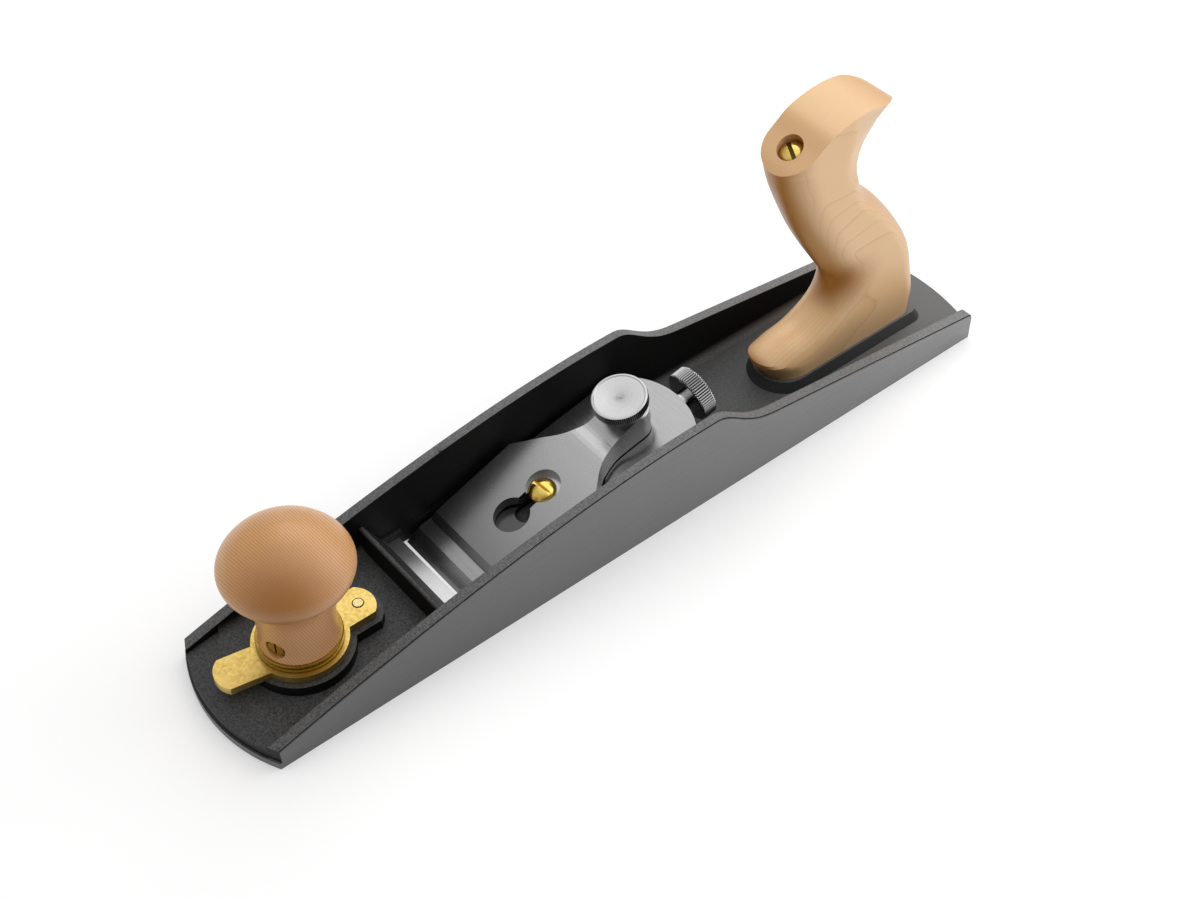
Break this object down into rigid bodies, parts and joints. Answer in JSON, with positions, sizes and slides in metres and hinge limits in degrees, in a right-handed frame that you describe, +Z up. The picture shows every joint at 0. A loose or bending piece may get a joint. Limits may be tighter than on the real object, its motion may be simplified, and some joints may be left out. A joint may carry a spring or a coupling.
{
  "type": "low angle jack plane",
  "caption": "Long iron bench plane with a low-angle bevel-up blade, lever cap, sliding toe plate with brass lever, wooden knob and wooden rear handle.",
  "frame": {"origin": "middle of the sole, on the surface that the plane stands on", "axes": "+X from the toe to the heel along the sole, +Y across, +Z up"},
  "size_m": [0.3556, 0.0636, 0.1318],
  "materials": {
    "cast_iron_black": "fine textured black casting with ground grey sides",
    "ground_steel": "ground",
    "plain_steel": "plain",
    "brass": "satin",
    "turned_wood": "oiled, turned",
    "shaped_wood": "oiled, smooth",
    "blade_steel": "fine ground",
    "cap_steel": "bead blasted",
    "turned_steel": "turned, knurled rim"
  },
  "bodies": {
    "root": {"body_casting": "cast_iron_black", "lever_pivot_pin": "brass", "rear_tote": "shaped_wood", "tote_rod": "plain_steel", "tote_barrel_nut": "brass", "tote_peg": "plain_steel"},
    "toe": {"toe_plate": "ground_steel", "knob_stud": "plain_steel"},
    "lever": {"mouth_lever": "brass"},
    "knob": {"front_knob": "turned_wood", "knob_insert": "brass", "knob_ferrule": "brass", "knob_lock_screw": "brass"},
    "carriage": {"adjuster_yoke": "plain_steel"},
    "wheel": {"adjuster_wheel": "turned_steel", "adjuster_spindle": "turned_steel", "adjuster_clip": "plain_steel"},
    "iron": {"blade": "blade_steel"},
    "cap": {"lever_cap": "cap_steel"},
    "cap_screw": {"lever_cap_screw": "brass"},
    "thumbscrew": {"thumbscrew_knob": "turned_steel", "thumbscrew_stud": "plain_steel"}
  },
  "joints": [
    {"name": "mouth_slide", "type": "slide", "parent": "root", "child": "toe", "axis": [1, 0, 0], "range_m": [-0.004, 0.0004]},
    {"name": "lever_swing", "type": "hinge", "parent": "root", "child": "lever", "pos_m": [-0.1144, 0, 0.0155], "axis": [0, 0, 1], "range_deg": [-1.7, 16.1]},
    {"name": "knob_turn", "type": "hinge", "parent": "toe", "child": "knob", "pos_m": [-0.139, 0, 0.0205], "axis": [0, 0, 1], "range_deg": [0, 180]},
    {"name": "blade_advance", "type": "slide", "parent": "root", "child": "carriage", "axis": [0.9781, 0, 0.2079], "range_m": [-0.0005, 0.006]},
    {"name": "adjuster_turn", "type": "hinge", "parent": "carriage", "child": "wheel", "pos_m": [0.04144, 0, 0.02184], "axis": [0.9781, 0, 0.2079], "range_deg": [-183, 2165]},
    {"name": "blade_lateral", "type": "hinge", "parent": "carriage", "child": "iron", "pos_m": [-0.06723, 0, 0.00355], "axis": [-0.2079, 0, 0.9781], "range_deg": [-0.6, 0.6]},
    {"name": "cap_swivel", "type": "hinge", "parent": "root", "child": "cap", "pos_m": [-0.03043, 0, 0.01801], "axis": [-0.2079, 0, 0.9781], "range_deg": [-2.5, 2.5]},
    {"name": "cap_screw_turn", "type": "hinge", "parent": "root", "child": "cap_screw", "pos_m": [-0.02981, 0, 0.01508], "axis": [-0.2079, 0, 0.9781], "range_deg": [0, 360]},
    {"name": "thumbscrew_turn", "type": "hinge", "parent": "cap", "child": "thumbscrew", "pos_m": [0.00949, 0, 0.03365], "axis": [-0.2079, 0, 0.9781], "range_deg": [0, 360]}
  ],
  "couplings": [
    {"joint": "lever_swing", "follows": "mouth_slide", "rad_per_m": -69.813},
    {"joint": "adjuster_turn", "follows": "blade_advance", "rad_per_m": 6283.2}
  ]
}
